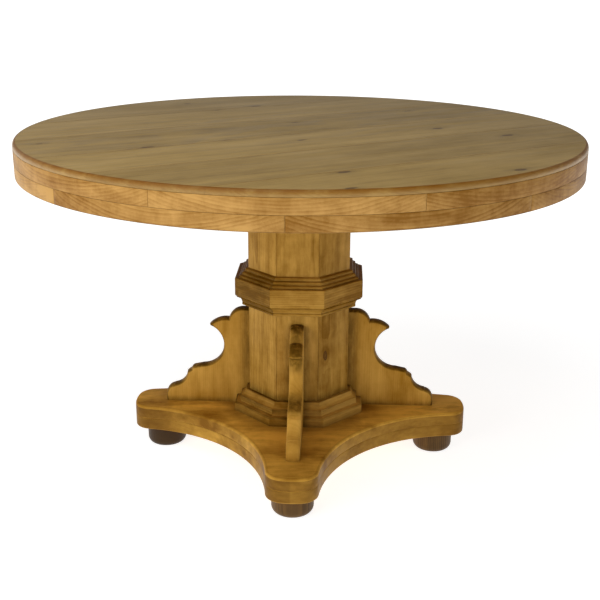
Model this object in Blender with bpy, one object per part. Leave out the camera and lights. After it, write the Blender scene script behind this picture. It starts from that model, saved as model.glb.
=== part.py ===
"""Round pedestal dining table in honey-stained pine, standing on the floor.

A top of six glued planks lies on two rings of mitred rim boards. An octagonal
column of eight staves carries it, with a moulded collar and four scroll
brackets, on a four-lobed base plate with turned feet. A tie rod runs up the
hollow column and clamps the base plate to the mounting plate under the top.

Metres, +Z up, origin on the floor under the middle of the table. The brackets,
the lobes and the feet lie on the X and Y axes.
"""

from math import acos, atan2, cos, hypot, pi, radians, sin, tan

import bmesh
import bpy
from mathutils import Vector

# Driving dimensions
TOP_RADIUS = 0.6096
TABLE_HEIGHT = 0.752
BOARD_THICKNESS = 0.030
PLANK_THICKNESS = 0.0125
FOOT_HEIGHT = 0.051
BASE_LAYER = 0.029
GAP = 0.0003  # between neighbouring pieces

# Top
PLANK_WIDTHS = (0.190, 0.205, 0.180, 0.210, 0.200, 0.2342)
PLANK_ANGLE = radians(34)
EDGE_ROUND_RADIAL = 0.0065
EDGE_ROUND_HEIGHT = 0.0095
RIM_BOARD_WIDTH = 0.140
CIRCLE_SEGMENTS = 96
BATTEN_SIZE = (0.090, 0.820)
BATTEN_OFFSET = 0.170
MOUNTING_PLATE_APOTHEM = 0.190

# Column, collar and base moulding: eight mitred sides, flats towards the axes
SIDES = 8
COLUMN_APOTHEM = 0.1135
STAVE_THICKNESS = 0.030
COLLAR_PROFILE = (
    (0.1138, 0.4520),
    (0.1205, 0.4510),
    (0.1212, 0.4435),
    (0.1268, 0.4430),
    (0.1275, 0.4360),
    (0.1330, 0.4355),
    (0.1340, 0.4305),
    (0.1425, 0.4300),
    (0.1430, 0.4290),
    (0.1430, 0.3870),
    (0.1375, 0.3850),
    (0.1355, 0.3795),
    (0.1315, 0.3755),
    (0.1265, 0.3730),
    (0.1260, 0.3680),
    (0.1225, 0.3650),
    (0.1138, 0.3640),
)
BASE_MOULDING_PROFILE = (
    (0.1138, 0.1093),
    (0.1470, 0.1093),
    (0.1470, 0.1265),
    (0.1445, 0.1300),
    (0.1345, 0.1305),
    (0.1340, 0.1440),
    (0.1290, 0.1480),
    (0.1240, 0.1560),
    (0.1215, 0.1580),
    (0.1138, 0.1585),
)

# Base plate
LOBE_TIP = 0.390
LOBE_END_RADIUS = 0.130
LOBE_CORNER_RADIUS = 0.040
WAIST_CENTRE = 0.389
WAIST_RADIUS = 0.335
BASE_TOP_ROUND = 0.006
BASE_BOTTOM_ROUND = 0.003

# Brackets
BRACKET_THICKNESS = 0.030
BRACKET_TOP = 0.3425
BRACKET_REACH = 0.315
BRACKET_EDGE_ROUND = 0.004

# Feet
FOOT_RADIUS = 0.0455
FOOT_FLAT_RADIUS = 0.0335
FOOT_ROUND_HEIGHT = 0.015
FOOT_CENTRE = 0.319
FOOT_SEGMENTS = 32

# Tie rod hardware
ROD_RADIUS = 0.006
ROD_CLEARANCE = 0.001
WASHER_RADIUS = 0.017
WASHER_THICKNESS = 0.003
NUT_ACROSS_FLATS = 0.019
NUT_HEIGHT = 0.010
ROD_STICK_OUT = 0.005
COUNTERBORE_RADIUS = 0.021
COUNTERBORE_DEPTH = 0.016

# Heights of the layers
BASE_MID = FOOT_HEIGHT + BASE_LAYER
BASE_TOP = BASE_MID + BASE_LAYER
PLANK_BOTTOM = TABLE_HEIGHT - PLANK_THICKNESS
UPPER_RIM_BOTTOM = PLANK_BOTTOM - BOARD_THICKNESS
LOWER_RIM_BOTTOM = UPPER_RIM_BOTTOM - BOARD_THICKNESS

DIRECTIONS = ("right", "back", "left", "front")

WOOD_COLOURS = {
    "pine_top": (0.30, 0.21, 0.10),
    "pine_rim": (0.52, 0.30, 0.09),
    "pine_column": (0.42, 0.23, 0.06),
    "pine_bracket": (0.42, 0.22, 0.05),
    "pine_base": (0.26, 0.12, 0.02),
    "dark_foot": (0.045, 0.020, 0.006),
}


def clear_scene():
    for obj in list(bpy.data.objects):
        bpy.data.objects.remove(obj, do_unlink=True)


def make_material(name, colour, roughness, metallic=0.0):
    material = bpy.data.materials.new(name)
    material.use_nodes = True
    shader = material.node_tree.nodes["Principled BSDF"]
    shader.inputs["Base Color"].default_value = (*colour, 1.0)
    shader.inputs["Roughness"].default_value = roughness
    shader.inputs["Metallic"].default_value = metallic
    return material


def add_object(name, bm, material, location=(0, 0, 0), angle=0.0):
    """Turns a bmesh into a named object, placed by its location and its turn about Z."""
    bmesh.ops.recalc_face_normals(bm, faces=bm.faces)
    mesh = bpy.data.meshes.new(name)
    bm.to_mesh(mesh)
    bm.free()
    mesh.materials.append(material)
    obj = bpy.data.objects.new(name, mesh)
    obj.location = location
    obj.rotation_euler = (0, 0, angle)
    bpy.context.scene.collection.objects.link(obj)
    return obj


def shade_round(obj, angle=radians(35)):
    obj.data.shade_smooth()
    obj.data.set_sharp_from_angle(angle=angle)


def loft(rings):
    """A closed solid between rings of equally many points, with flat faces on both ends."""
    bm = bmesh.new()
    rows = [[bm.verts.new(point) for point in ring] for ring in rings]
    for lower, upper in zip(rows, rows[1:]):
        for i in range(len(lower)):
            j = (i + 1) % len(lower)
            bm.faces.new((lower[i], lower[j], upper[j], upper[i]))
    bm.faces.new(list(reversed(rows[0])))
    bm.faces.new(rows[-1])
    return bm


def prism(outline, bottom, top):
    """A plan outline, as (x, y) points, raised from one height to another."""
    return loft([[(x, y, z) for x, y in outline] for z in (bottom, top)])


def turned(profile, segments):
    """A solid of revolution about Z from (radius, z) points, closed flat at both ends."""
    turn = 2 * pi / segments
    return loft(
        [[(r * cos(i * turn), r * sin(i * turn), z) for i in range(segments)] for r, z in profile]
    )


def arc(centre, radius, start, end, steps):
    """Points on an arc, from one angle to another in degrees."""
    for i in range(steps + 1):
        angle = radians(start + (end - start) * i / steps)
        yield (centre[0] + radius * cos(angle), centre[1] + radius * sin(angle))


def polygon(apothem, sides=SIDES):
    """A regular polygon in plan, with flats towards the axes."""
    radius = apothem / cos(pi / sides)
    return [
        (radius * cos((2 * i + 1) * pi / sides), radius * sin((2 * i + 1) * pi / sides))
        for i in range(sides)
    ]


def round_edges(bm, width, segments, wanted):
    """Rounds the edges that the test picks out."""
    edges = [edge for edge in bm.edges if wanted(edge)]
    bmesh.ops.bevel(bm, geom=edges, offset=width, segments=segments, profile=0.5, affect="EDGES")


def lies_at(height):
    return lambda edge: all(abs(vert.co.z - height) < 1e-5 for vert in edge.verts)


def bore(obj, radius, bottom, top):
    """Cuts a round hole about the table's axis, with a hidden cutter."""
    cutter_mesh = turned(((radius, bottom), (radius, top)), 24)
    cutter = add_object(f"{obj.name}_bore_{len(obj.modifiers) + 1}", cutter_mesh, obj.data.materials[0])
    cutter.hide_render = True
    cutter.display_type = "WIRE"
    modifier = obj.modifiers.new(cutter.name, "BOOLEAN")
    modifier.operation = "DIFFERENCE"
    modifier.solver = "EXACT"
    modifier.object = cutter


def mitred_side(profile):
    """One side of the octagonal frame: an (apothem, z) profile swept between two mitres."""
    slope = tan(pi / SIDES)
    inset = GAP / 2 / cos(pi / SIDES)
    return loft(
        [[(a, side * (a * slope - inset), z) for a, z in profile] for side in (-1, 1)]
    )


def mitred_corner(profile):
    """The frame from one bracket's cheek round to the next: two half sides and a diagonal one."""
    slope = tan(pi / SIDES)
    cheek = BRACKET_THICKNESS / 2 + GAP
    rings = (
        [(a, cheek, z) for a, z in profile],
        [(a, a * slope, z) for a, z in profile],
        [(a * slope, a, z) for a, z in profile],
        [(cheek, a, z) for a, z in profile],
    )
    return loft(rings)


def rim_board():
    """One rim board about +X: sawn round outside, straight inside, mitred at both ends."""
    inner = TOP_RADIUS - RIM_BOARD_WIDTH
    half = pi / SIDES
    inset = GAP / 2 / cos(half)
    trim = GAP / 2 / TOP_RADIUS
    steps = CIRCLE_SEGMENTS // SIDES
    angles = [-half + 2 * half * i / steps for i in range(steps + 1)]
    angles[0] += trim
    angles[-1] -= trim
    outline = [(TOP_RADIUS * cos(angle), TOP_RADIUS * sin(angle)) for angle in angles]
    reach = inner * tan(half) - inset
    outline += [(inner, reach), (inner, -reach)]
    return prism(outline, 0, BOARD_THICKNESS - GAP)


def plank_disc():
    """The whole top, before it is divided into planks."""
    rounding = [
        (TOP_RADIUS - EDGE_ROUND_RADIAL + x, TABLE_HEIGHT - EDGE_ROUND_HEIGHT + z)
        for x, z in (
            (EDGE_ROUND_RADIAL * cos(radians(a)), EDGE_ROUND_HEIGHT * sin(radians(a)))
            for a in (0, 22.5, 45, 67.5, 90)
        )
    ]
    return turned([(TOP_RADIUS, PLANK_BOTTOM), *rounding], CIRCLE_SEGMENTS)


def cut_away(bm, point, normal):
    """Cuts a convex solid with a plane and keeps the part behind it, closed again."""
    geometry = bm.verts[:] + bm.edges[:] + bm.faces[:]
    bmesh.ops.bisect_plane(
        bm, geom=geometry, dist=1e-6, plane_co=point, plane_no=normal, clear_outer=True
    )
    bmesh.ops.holes_fill(bm, edges=[edge for edge in bm.edges if edge.is_boundary])


def make_top(materials):
    across = Vector((-sin(PLANK_ANGLE), cos(PLANK_ANGLE), 0))
    near = -TOP_RADIUS
    for number, width in enumerate(PLANK_WIDTHS, 1):
        far = near + width
        bm = plank_disc()
        if number > 1:
            cut_away(bm, across * (near + GAP / 2), -across)
        if number < len(PLANK_WIDTHS):
            cut_away(bm, across * (far - GAP / 2), across)
        shade_round(add_object(f"top_plank_{number}", bm, materials["pine_top"]))
        near = far
    for k in range(SIDES):
        upper = add_object(
            f"rim_upper_{k + 1}",
            rim_board(),
            materials["pine_rim"],
            location=(0, 0, UPPER_RIM_BOTTOM),
            angle=2 * pi * k / SIDES,
        )
        lower = add_object(
            f"rim_lower_{k + 1}",
            rim_board(),
            materials["pine_rim"],
            location=(0, 0, LOWER_RIM_BOTTOM),
            angle=2 * pi * (k + 0.5) / SIDES,
        )
        shade_round(upper, radians(12))
        shade_round(lower, radians(12))


def make_top_support(materials):
    width, length = BATTEN_SIZE
    along = Vector((cos(PLANK_ANGLE), sin(PLANK_ANGLE), 0))
    corners = ((-1, -1), (1, -1), (1, 1), (-1, 1))
    outline = [(x * width / 2, y * length / 2) for x, y in corners]
    for number, side in enumerate((-1, 1), 1):
        bm = prism(outline, 0, BOARD_THICKNESS - GAP)
        position = along * side * BATTEN_OFFSET + Vector((0, 0, UPPER_RIM_BOTTOM))
        add_object(f"top_batten_{number}", bm, materials["pine_rim"], position, PLANK_ANGLE)
    plate_top = UPPER_RIM_BOTTOM - GAP
    plate = add_object(
        "mounting_plate",
        prism(polygon(MOUNTING_PLATE_APOTHEM), LOWER_RIM_BOTTOM, plate_top),
        materials["pine_rim"],
    )
    bore(plate, ROD_RADIUS + ROD_CLEARANCE, LOWER_RIM_BOTTOM - 0.01, plate_top + 0.01)


def make_column(materials):
    inner = COLUMN_APOTHEM - STAVE_THICKNESS
    bottom = BASE_TOP + GAP
    top = LOWER_RIM_BOTTOM - GAP
    stave = ((inner, bottom), (COLUMN_APOTHEM, bottom), (COLUMN_APOTHEM, top), (inner, top))
    wood = materials["pine_column"]
    for k in range(SIDES):
        angle = 2 * pi * k / SIDES
        add_object(f"column_stave_{k + 1}", mitred_side(stave), wood, angle=angle)
        add_object(f"collar_piece_{k + 1}", mitred_side(COLLAR_PROFILE), wood, angle=angle)
    for k in range(4):
        moulding = mitred_corner(BASE_MOULDING_PROFILE)
        add_object(f"base_moulding_{k + 1}", moulding, wood, angle=k * pi / 2)


def bracket_outline():
    """The scroll bracket's side view as (distance from the axis, height) points."""
    lobe_centre, lobe_radius = (0.1700, 0.2640), 0.0535
    hollow_centre, hollow_radius = (0.2275, 0.2515), 0.0508
    dx, dz = hollow_centre[0] - lobe_centre[0], hollow_centre[1] - lobe_centre[1]
    apart = hypot(dx, dz)
    turn = acos((apart**2 + lobe_radius**2 - hollow_radius**2) / (2 * apart * lobe_radius))
    tip_angle = atan2(dz, dx) + turn
    tip = (lobe_centre[0] + lobe_radius * cos(tip_angle), lobe_centre[1] + lobe_radius * sin(tip_angle))
    hollow_start = atan2(tip[1] - hollow_centre[1], tip[0] - hollow_centre[0])
    lobe_end = tip_angle * 180 / pi
    hollow_first = hollow_start * 180 / pi
    outline = [(COLUMN_APOTHEM + GAP, BRACKET_TOP)]
    outline += arc((0.1305, 0.3085), 0.0340, 90, 22, 5)  # shoulder under the collar
    outline += arc(lobe_centre, lobe_radius, 97, lobe_end + 3, 6)  # upper lobe
    outline += arc(hollow_centre, hollow_radius, hollow_first + 3, 268, 12)  # hollow
    outline += [(0.2455, 0.1965)]
    outline += arc((0.2455, 0.1875), 0.0088, 80, 10, 3)  # bead
    outline += arc((0.3005, 0.1855), 0.0365, 186, 262, 7)  # cove
    outline += arc((0.2925, 0.1260), 0.0225, 80, 0, 5)  # rounded toe
    outline += [(BRACKET_REACH, BASE_TOP + GAP), (COLUMN_APOTHEM + GAP, BASE_TOP + GAP)]
    return outline


def make_brackets(materials):
    half = BRACKET_THICKNESS / 2
    for k, direction in enumerate(DIRECTIONS):
        bm = loft([[(r, side * half, z) for r, z in bracket_outline()] for side in (-1, 1)])
        inner = COLUMN_APOTHEM + GAP
        floor = BASE_TOP + GAP

        def on_shaped_edge(edge):
            on_cheek = abs(edge.verts[0].co.y - edge.verts[1].co.y) < 1e-6
            joins_column = all(vert.co.x < inner + 1e-5 for vert in edge.verts)
            joins_base = all(vert.co.z < floor + 1e-5 for vert in edge.verts)
            return on_cheek and not joins_column and not joins_base

        round_edges(bm, BRACKET_EDGE_ROUND, 1, on_shaped_edge)
        bracket = add_object(f"bracket_{direction}", bm, materials["pine_bracket"], angle=k * pi / 2)
        shade_round(bracket, radians(40))


def lobe_outline():
    """The base plate in plan: four hollow waists joined by four blunt lobes."""
    end_centre = (LOBE_TIP - LOBE_END_RADIUS, 0)
    reach = WAIST_RADIUS + LOBE_CORNER_RADIUS
    swing = LOBE_END_RADIUS - LOBE_CORNER_RADIUS
    dx, dy = end_centre[0] - WAIST_CENTRE, end_centre[1] - WAIST_CENTRE
    apart = hypot(dx, dy)
    turn = acos((apart**2 + reach**2 - swing**2) / (2 * apart * reach))
    waist_angle = atan2(dy, dx) + turn
    corner = (WAIST_CENTRE + reach * cos(waist_angle), WAIST_CENTRE + reach * sin(waist_angle))
    end_angle = atan2(corner[1] - end_centre[1], corner[0] - end_centre[0]) * 180 / pi
    corner_start = waist_angle * 180 / pi + 180
    waist_end = waist_angle * 180 / pi
    quarter = list(arc(end_centre, LOBE_END_RADIUS, 0, end_angle, 2))
    quarter += list(arc(corner, LOBE_CORNER_RADIUS, end_angle, corner_start, 6))[1:]
    waist = list(arc((WAIST_CENTRE, WAIST_CENTRE), WAIST_RADIUS, waist_end, -270 - waist_end, 14))
    corner_mirrored = [(y, x) for x, y in reversed(quarter)]
    quadrant = quarter + waist[1:-1] + corner_mirrored
    outline = []
    for k in range(4):
        c, s = round(cos(k * pi / 2)), round(sin(k * pi / 2))
        outline += [(c * x - s * y, s * x + c * y) for x, y in quadrant[:-1]]
    return outline


def make_base(materials):
    lower = prism(lobe_outline(), FOOT_HEIGHT, BASE_MID - GAP)
    round_edges(lower, BASE_BOTTOM_ROUND, 2, lies_at(FOOT_HEIGHT))
    lower = add_object("base_plate_lower", lower, materials["pine_base"])
    bore(lower, COUNTERBORE_RADIUS, FOOT_HEIGHT - 0.01, FOOT_HEIGHT + COUNTERBORE_DEPTH)
    bore(lower, ROD_RADIUS + ROD_CLEARANCE, FOOT_HEIGHT, BASE_MID + 0.01)
    upper = prism(lobe_outline(), BASE_MID, BASE_TOP)
    round_edges(upper, BASE_TOP_ROUND, 3, lies_at(BASE_TOP))
    upper = add_object("base_plate_upper", upper, materials["pine_base"])
    bore(upper, ROD_RADIUS + ROD_CLEARANCE, BASE_MID - 0.01, BASE_TOP + 0.01)
    shade_round(lower)
    shade_round(upper)


def make_feet(materials):
    swell = FOOT_RADIUS - FOOT_FLAT_RADIUS
    profile = [
        (FOOT_FLAT_RADIUS + swell * cos(radians(a)), FOOT_ROUND_HEIGHT * (1 - sin(radians(a))))
        for a in (90, 72, 54, 36, 18, 0)
    ]
    profile.append((FOOT_RADIUS, FOOT_HEIGHT - GAP - 0.002))
    profile.append((FOOT_RADIUS - 0.002, FOOT_HEIGHT - GAP))
    for k, direction in enumerate(DIRECTIONS):
        angle = k * pi / 2
        centre = (FOOT_CENTRE * cos(angle), FOOT_CENTRE * sin(angle), 0)
        bm = turned(profile, FOOT_SEGMENTS)
        shade_round(add_object(f"foot_{direction}", bm, materials["dark_foot"], centre))


def ring_solid(name, outer, inner_radius, bottom, top, material):
    """A flat ring about the table's axis, such as a washer or a nut, from its outer outline."""
    obj = add_object(name, prism(outer, bottom, top), material)
    bore(obj, inner_radius, bottom - 0.01, top + 0.01)
    return obj


def make_tie_rod(materials):
    steel = materials["zinc_steel"]
    seat_low = FOOT_HEIGHT + COUNTERBORE_DEPTH - GAP
    seat_high = UPPER_RIM_BOTTOM
    washer = list(arc((0, 0), WASHER_RADIUS, 0, 345, 23))
    nut = polygon(NUT_ACROSS_FLATS / 2, 6)
    hole = ROD_RADIUS + GAP
    stack = WASHER_THICKNESS + GAP
    ring_solid("tie_rod_washer_bottom", washer, hole, seat_low - WASHER_THICKNESS, seat_low, steel)
    ring_solid("tie_rod_nut_bottom", nut, hole, seat_low - stack - NUT_HEIGHT, seat_low - stack, steel)
    ring_solid("tie_rod_washer_top", washer, hole, seat_high, seat_high + WASHER_THICKNESS, steel)
    ring_solid("tie_rod_nut_top", nut, hole, seat_high + stack, seat_high + stack + NUT_HEIGHT, steel)
    rod_bottom = FOOT_HEIGHT + 0.001
    rod_top = seat_high + stack + NUT_HEIGHT + ROD_STICK_OUT
    rod = turned(((ROD_RADIUS, rod_bottom), (ROD_RADIUS, rod_top)), 20)
    shade_round(add_object("tie_rod", rod, steel))


def main():
    clear_scene()
    materials = {name: make_material(name, colour, 0.45) for name, colour in WOOD_COLOURS.items()}
    materials["zinc_steel"] = make_material("zinc_steel", (0.55, 0.56, 0.57), 0.35, 1.0)
    make_top(materials)
    make_top_support(materials)
    make_column(materials)
    make_brackets(materials)
    make_base(materials)
    make_feet(materials)
    make_tie_rod(materials)


main()
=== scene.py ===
"""Looks of the round pedestal table: every board, moulding and foot in stained pine.

Each CAD node is replaced by a finer piece of the same size and place. Its mesh carries
its own grain coordinates, so that a solid-wood material gives each board its figure,
knots and end grain, and an amount of dark wax and painted shade at each corner, which
darkens inside corners and sawn edges; more painted shade and painted light are laid on by
place in the materials. Screw heads are added under the top. All lengths are in metres.
"""

import random
from math import acos, atan2, cos, hypot, pi, radians, sin, sqrt, tan

import bmesh
import bpy
from mathutils import Matrix, Vector


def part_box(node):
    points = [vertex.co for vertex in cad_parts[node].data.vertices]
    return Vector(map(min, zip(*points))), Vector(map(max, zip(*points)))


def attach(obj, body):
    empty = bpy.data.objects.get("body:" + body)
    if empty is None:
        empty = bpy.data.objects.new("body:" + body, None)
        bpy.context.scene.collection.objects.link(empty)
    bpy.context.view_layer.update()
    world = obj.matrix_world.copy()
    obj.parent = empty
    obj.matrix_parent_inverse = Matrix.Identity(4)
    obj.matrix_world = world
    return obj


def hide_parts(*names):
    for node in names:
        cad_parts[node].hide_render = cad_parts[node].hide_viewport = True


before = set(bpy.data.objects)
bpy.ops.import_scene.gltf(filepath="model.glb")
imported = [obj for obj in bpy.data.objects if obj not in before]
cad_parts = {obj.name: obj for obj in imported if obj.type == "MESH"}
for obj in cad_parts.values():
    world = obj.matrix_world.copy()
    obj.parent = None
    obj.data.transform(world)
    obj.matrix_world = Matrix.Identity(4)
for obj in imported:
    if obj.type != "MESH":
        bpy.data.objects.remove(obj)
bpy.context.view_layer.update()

# Places and sizes read from the frame; heights are (lowest, highest)
TOP_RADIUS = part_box("rim_upper_1")[1].x
TOP_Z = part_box("top_plank_4")[1].z
PLANK_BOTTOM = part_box("top_plank_4")[0].z
UPPER_RIM = (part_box("rim_upper_1")[0].z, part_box("rim_upper_1")[1].z)
LOWER_RIM = (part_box("rim_lower_1")[0].z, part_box("rim_lower_1")[1].z)
GAP = UPPER_RIM[0] - LOWER_RIM[1]
COLUMN_Z = (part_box("column_stave_1")[0].z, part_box("column_stave_1")[1].z)
COLUMN_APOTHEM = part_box("column_stave_1")[1].x
STAVE_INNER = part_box("column_stave_1")[0].x
PLATE_Z = (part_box("mounting_plate")[0].z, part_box("mounting_plate")[1].z)
PLATE_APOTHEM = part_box("mounting_plate")[1].x
COLLAR_Z = (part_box("collar_piece_1")[0].z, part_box("collar_piece_1")[1].z)
COLLAR_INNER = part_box("collar_piece_1")[0].x
COLLAR_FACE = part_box("collar_piece_1")[1].x
MOULDING_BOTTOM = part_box("base_moulding_1")[0].z
MOULDING_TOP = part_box("base_moulding_1")[1].z
MOULDING_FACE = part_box("base_moulding_1")[1].x
BASE_LOWER = (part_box("base_plate_lower")[0].z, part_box("base_plate_lower")[1].z)
BASE_UPPER = (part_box("base_plate_upper")[0].z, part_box("base_plate_upper")[1].z)
BASE_TOP = BASE_UPPER[1]
LOBE_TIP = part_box("base_plate_upper")[1].x
BRACKET_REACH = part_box("bracket_right")[1].x
BRACKET_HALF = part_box("bracket_right")[1].y
BRACKET_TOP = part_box("bracket_right")[1].z
FOOT_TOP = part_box("foot_right")[1].z
FOOT_CENTRE = (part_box("foot_right")[0].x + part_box("foot_right")[1].x) / 2
FOOT_RADIUS = (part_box("foot_right")[1].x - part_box("foot_right")[0].x) / 2

# Shapes that the frame doesn't state. Of the pairs, EDGE_ROUND and BRACKET_ROUND are (inwards,
# along the face), BATTEN_SIZE is (width, length), FILLETS are (face, drop below the collar's
# top) and COUNTERBORE is (radius, depth)
SIDES = 8
EASE = 0.0007
SHARP_ANGLE = radians(32)
PLANK_WIDTHS = (0.190, 0.205, 0.180, 0.210, 0.200, 0.2342)
PLANK_ANGLE = radians(34)
ALONG = Vector((cos(PLANK_ANGLE), sin(PLANK_ANGLE), 0))
ACROSS = Vector((-sin(PLANK_ANGLE), cos(PLANK_ANGLE), 0))
EDGE_ROUND = (0.0065, 0.0095)
RIM_BOARD_WIDTH = 0.140
RIM_STEPS = 45
BATTEN_SIZE = (0.090, 0.820)
BATTEN_OFFSET = 0.170
BATTEN_SCREWS = (0.230, 0.310, 0.385)
PLATE_SCREW_ROW = 0.155
PLATE_SCREWS = (-0.075, -0.025, 0.025, 0.075)
SCREW_RADIUS = 0.0045
SCREW_DOME = 0.0022
RECESS_HALF = (0.0005, 0.0026)
RECESS_BOTTOM = -0.0010
FILLETS = ((0.1208, 0.0015), (0.1272, 0.0092), (0.1336, 0.0163))
FILLET_HEIGHT = 0.0058
FILLET_ROUND = 0.0032
WAIST_CENTRE = 0.389
WAIST_RADIUS = 0.335
WAIST_STEPS = 48
LOBE_END_RADIUS = 0.130
LOBE_CORNER_RADIUS = 0.040
BRACKET_ROUND = (0.0055, 0.012)
# Below this height the front bracket's contour is painted lighter
LIGHTER_BELOW = 0.235
BEAD_HEIGHT = 0.200
FOOT_FLAT_RADIUS = 0.0335
FOOT_ROUND_HEIGHT = 0.015
ROD_HOLE = 0.007
COUNTERBORE = (0.021, 0.016)
BASE_GRAIN = radians(4)
THREAD_LENGTH = 0.040
THREAD_PITCH = 0.00175
THREAD_DEPTH = 0.0009
DIRECTIONS = ("right", "back", "left", "front")

# How dark each board is, from -1 for pale to 1 for deep amber
PLANK_TONES = (0.0, 0.25, -0.1, 0.2, -0.05, 0.1)
UPPER_RIM_TONES = (0.3, 0.2, 0.0, -0.1, 0.2, -0.15, 0.06, 0.25)
LOWER_RIM_TONES = (0.1, 0.2, -0.1, 0.4, -0.50, 0.10, 0.30, 0.30)
STAVE_TONES = (0.3, -0.1, 0.1, 0.0, 0.15, 0.12, 0.0, 0.25)
COLLAR_TONES = (0.8, 0.6, 0.4, 0.6, 0.8, 0.8, 0.0, 0.35)
COLLAR_WAX = (0.45, 0.35, 0.15, 0.35, 0.55, 0.56, 0.0, 0.10)
MOULDING_TONES = (0.1, 0.2, 0.35, -0.45)
# Dark wax and painted shade in each base moulding piece's inside corners
MOULDING_WAX_AND_SHADE = (0.35, 0.35, 0.65, 0.30)
BRACKET_TONES = (0.2, 0.1, 0.0, -0.1)
# The left foot's tone, beyond deep amber, is painted shade
FOOT_TONES_AND_SHADE = (-0.3, 0.4, 1.5, -0.4)

# Knots at chosen places: the stave's number, then (along, across, radius); a board without
# one has it far outside itself
STAVE_KNOTS = {8: (0.264, 0.0255, 0.0048)}
NO_KNOT = (9.0, 9.0, 0.004)

# Studio: brightness near and far, low and high, left and right
FLOOR_GLOW = (0.84, 1.20)
SKY_BY_HEIGHT = (0.34, 0.12)
SKY_BY_SIDE = (1.3, 0.75)
FLOOR_SIZE = 60
WALL_RADIUS = 50

# Softboxes: place, target, size, power in watts, colour
SOFTBOXES = {
    "key": ((-2.8, -3.2, 1.5), (0, 0, 0.4), (2.2, 1.8), 60, (1.0, 0.98, 0.95)),
    "overhead": ((-0.9, -1.1, 3.0), (0, 0, 0.75), (2.4, 2.4), 44, (1.0, 1.0, 1.0)),
    "fill": ((2.4, -2.6, 2.6), (0, 0, 0.2), (1.6, 1.6), 22, (1.0, 1.0, 1.0)),
}

# Camera: place, then heading, pitch below level and roll in degrees, lens in mm, shift
CAMERA_PLACE = (0.0909, -2.2270, 1.1060)
CAMERA_TURN = (2.338, 18.51, 0.288)
CAMERA_LENS = 61.13
CAMERA_SHIFT = (0.0006, 0.0009)

rng = random.Random(20)


# -------- meshes


def loft(rings, wax_and_shade_amounts=None):
    """A closed solid between rings of equally many points, with flat faces on both ends.

    The amounts, where given, are one amount of dark wax and painted shade for each place round a
    ring.
    """
    bm = bmesh.new()
    rows = [[bm.verts.new(point) for point in ring] for ring in rings]
    layer = wax_and_shade_layer(bm)
    for lower, upper in zip(rows, rows[1:]):
        for i in range(len(lower)):
            j = (i + 1) % len(lower)
            face = bm.faces.new((lower[i], lower[j], upper[j], upper[i]))
            if wax_and_shade_amounts:
                for loop, amount in zip(face.loops, (wax_and_shade_amounts[i], wax_and_shade_amounts[j], wax_and_shade_amounts[j], wax_and_shade_amounts[i])):
                    loop[layer] = amount
    bm.faces.new(list(reversed(rows[0])))
    bm.faces.new(rows[-1])
    return bm


def prism(outline, bottom, top):
    """An outline in plan, raised from one height to another."""
    return loft([[(x, y, z) for x, y in outline] for z in (bottom, top)])


def turned(profile, segments):
    """A solid of revolution about Z from (radius, z) points."""
    turn = 2 * pi / segments
    return loft(
        [[(r * cos(i * turn), r * sin(i * turn), z) for i in range(segments)] for r, z in profile]
    )


def arc(centre, radius, start, end, steps):
    """Points on an arc, from one angle to another in degrees."""
    for i in range(steps + 1):
        angle = radians(start + (end - start) * i / steps)
        yield (centre[0] + radius * cos(angle), centre[1] + radius * sin(angle))


def polygon(apothem, sides=SIDES):
    """A regular polygon with one of its flats towards +X."""
    radius = apothem / cos(pi / sides)
    return [
        (radius * cos((2 * i + 1) * pi / sides), radius * sin((2 * i + 1) * pi / sides))
        for i in range(sides)
    ]


def wax_and_shade_layer(bm):
    """The layer that holds the amount of dark wax and painted shade of each face corner."""
    return bm.loops.layers.float.get("wax_and_shade_amount") or bm.loops.layers.float.new("wax_and_shade_amount")


def set_wax_and_shade(bm, faces, amount_of):
    """Sets how much dark wax and painted shade each face corner holds; below zero it is painted
    lighter.
    """
    layer = wax_and_shade_layer(bm)
    for face in faces:
        for loop in face.loops:
            loop[layer] = amount_of(face, loop.vert.co)


def ease_edges(bm, width=EASE, segments=2, sharper_than=25, wanted=None, wax_and_shade_amount=0.3):
    """Rounds every wanted edge sharper than the angle, in degrees, and darkens it by an amount of
    wax and painted shade.
    """
    bmesh.ops.recalc_face_normals(bm, faces=bm.faces)
    limit = radians(sharper_than)
    edges = [e for e in bm.edges if e.is_manifold and e.calc_face_angle(0) > limit]
    edges = [e for e in edges if wanted is None or wanted(e)]
    made = bmesh.ops.bevel(
        bm, geom=edges, offset=width, segments=segments, profile=0.5, affect="EDGES",
        clamp_overlap=True,
    )
    set_wax_and_shade(bm, made["faces"], lambda face, place: wax_and_shade_amount)


def cut_away(bm, point, normal):
    """Cuts a convex solid with a plane and keeps the part behind it, closed again."""
    geometry = bm.verts[:] + bm.edges[:] + bm.faces[:]
    bmesh.ops.bisect_plane(
        bm, geom=geometry, dist=1e-6, plane_co=point, plane_no=normal, clear_outer=True
    )
    bmesh.ops.holes_fill(bm, edges=[edge for edge in bm.edges if edge.is_boundary])


def combine(bm, other, operation="DIFFERENCE"):
    """Cuts one solid with another, or keeps what they share, and frees both."""
    objects = []
    for part in (bm, other):
        mesh = bpy.data.meshes.new("part")
        part.to_mesh(mesh)
        part.free()
        objects.append(bpy.data.objects.new("part", mesh))
        bpy.context.scene.collection.objects.link(objects[-1])
    modifier = objects[0].modifiers.new("combine", "BOOLEAN")
    modifier.operation = operation
    modifier.solver = "EXACT"
    modifier.object = objects[1]
    result = bmesh.new()
    result.from_object(objects[0], bpy.context.evaluated_depsgraph_get())
    for obj in objects:
        bpy.data.meshes.remove(obj.data)
    return result


def bore(bm, radius, bottom, top):
    """Cuts a round hole about the table's axis."""
    return combine(bm, turned(((radius, bottom), (radius, top)), 48))


def ramp(value, start, end):
    """How far a value has come from start to end, held between 0 and 1."""
    return min(1.0, max(0.0, (value - start) / (end - start)))


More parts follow.
